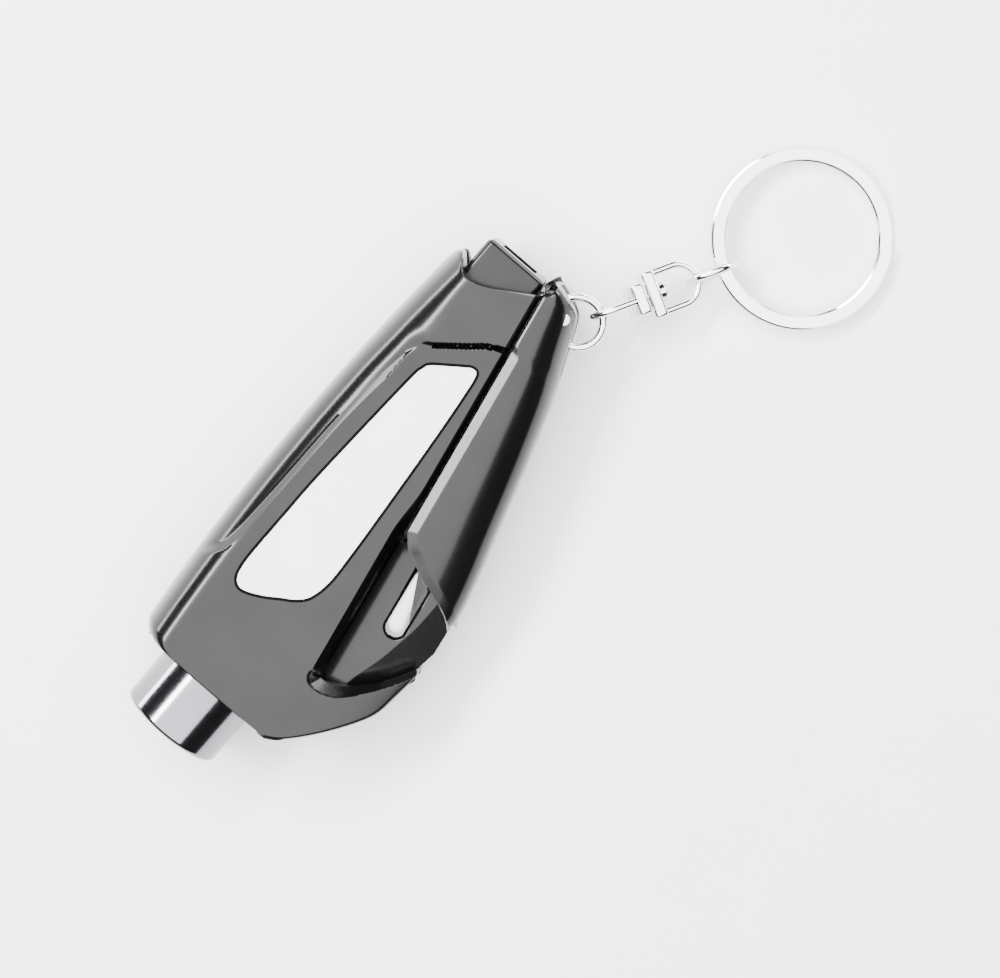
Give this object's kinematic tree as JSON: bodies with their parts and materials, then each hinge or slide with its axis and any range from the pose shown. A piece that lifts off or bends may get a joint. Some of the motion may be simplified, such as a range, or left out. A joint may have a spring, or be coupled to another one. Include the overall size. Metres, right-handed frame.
{
  "type": "keychain car escape tool",
  "caption": "Pocket car escape tool with a spring-loaded glass punch in the nose and a guarded seat-belt blade, hung from a swivel chain and split key ring.",
  "frame": {"origin": "on the back label's outer face, which is the rest plane, below the punch axis and halfway along the housing", "axes": "+Y along the punch axis from the nose to the key ring end, +Z out of the front face, +X towards the belt cutter"},
  "size_m": [0.0488, 0.1207, 0.018],
  "materials": {
    "housing_plastic": "satin gunmetal",
    "plug_plastic": "satin",
    "label_plastic": "gloss white",
    "dark_chrome": "black chrome",
    "hard_steel": "ground",
    "spring_steel": "drawn wire",
    "brass": "turned",
    "bright_chrome": "polished"
  },
  "bodies": {
    "housing": {"front_shell": "housing_plastic", "back_shell": "housing_plastic", "front_inlay": "label_plastic", "back_inlay": "label_plastic", "tail_plug": "plug_plastic", "barrel_liner": "hard_steel", "spring_seat": "brass", "main_spring": "spring_steel", "blade": "hard_steel", "screw_1": "hard_steel", "screw_2": "hard_steel", "screw_3": "hard_steel"},
    "nose": {"nose_sleeve": "dark_chrome", "return_spring": "spring_steel"},
    "spike": {"spike": "hard_steel"},
    "hammer": {"hammer": "hard_steel"},
    "guard": {"blade_guard": "housing_plastic", "ring_pin": "hard_steel"},
    "tool_ring": {"jump_ring_tool": "bright_chrome"},
    "swivel_eye": {"swivel_eye": "bright_chrome", "swivel_rivet": "bright_chrome"},
    "swivel_bow": {"swivel_bow": "bright_chrome"},
    "link_ring": {"jump_ring_key": "bright_chrome"},
    "key_ring": {"key_ring": "bright_chrome"}
  },
  "joints": [
    {"name": "nose_press", "type": "slide", "parent": "housing", "child": "nose", "axis": [0, 1, 0], "range_m": [0, 0.006], "stiffness_N_per_m": 10000},
    {"name": "hammer_cock", "type": "slide", "parent": "housing", "child": "hammer", "axis": [0, 1, 0], "range_m": [0, 0.006], "deforming": ["main_spring"]},
    {"name": "spike_strike", "type": "slide", "parent": "nose", "child": "spike", "axis": [0, -1, 0], "range_m": [0, 0.0025], "stiffness_N_per_m": 1500, "deforming": ["return_spring"]},
    {"name": "guard_pull", "type": "slide", "parent": "housing", "child": "guard", "axis": [-0.1803, 0.9836, 0], "range_m": [0, 0.045]},
    {"name": "tool_ring_swing", "type": "hinge", "parent": "guard", "child": "tool_ring", "pos_m": [0.0049, 0.0353, 0.009], "axis": [0, 0, 1], "range_deg": [-28, 35]},
    {"name": "eye_swing", "type": "hinge", "parent": "tool_ring", "child": "swivel_eye", "pos_m": [0.00818, 0.03882, 0.009], "axis": [-0.8738, 0.4863, 0], "range_deg": [-35, 35]},
    {"name": "swivel_spin", "type": "hinge", "parent": "swivel_eye", "child": "swivel_bow", "pos_m": [0.01166, 0.04507, 0.00677], "axis": [0.4643, 0.8342, -0.2974], "continuous": true},
    {"name": "link_swing", "type": "hinge", "parent": "swivel_bow", "child": "link_ring", "pos_m": [0.01487, 0.05083, 0.00472], "axis": [-0.8738, 0.4863, 0], "range_deg": [-50, 50]},
    {"name": "key_ring_swing", "type": "hinge", "parent": "link_ring", "child": "key_ring", "pos_m": [0.01751, 0.05559, 0.00302], "axis": [0.1446, 0.2598, 0.9548], "range_deg": [-30, 30]}
  ],
  "couplings": [
    {"joint": "hammer_cock", "follows": "nose_press", "ratio": 1}
  ]
}
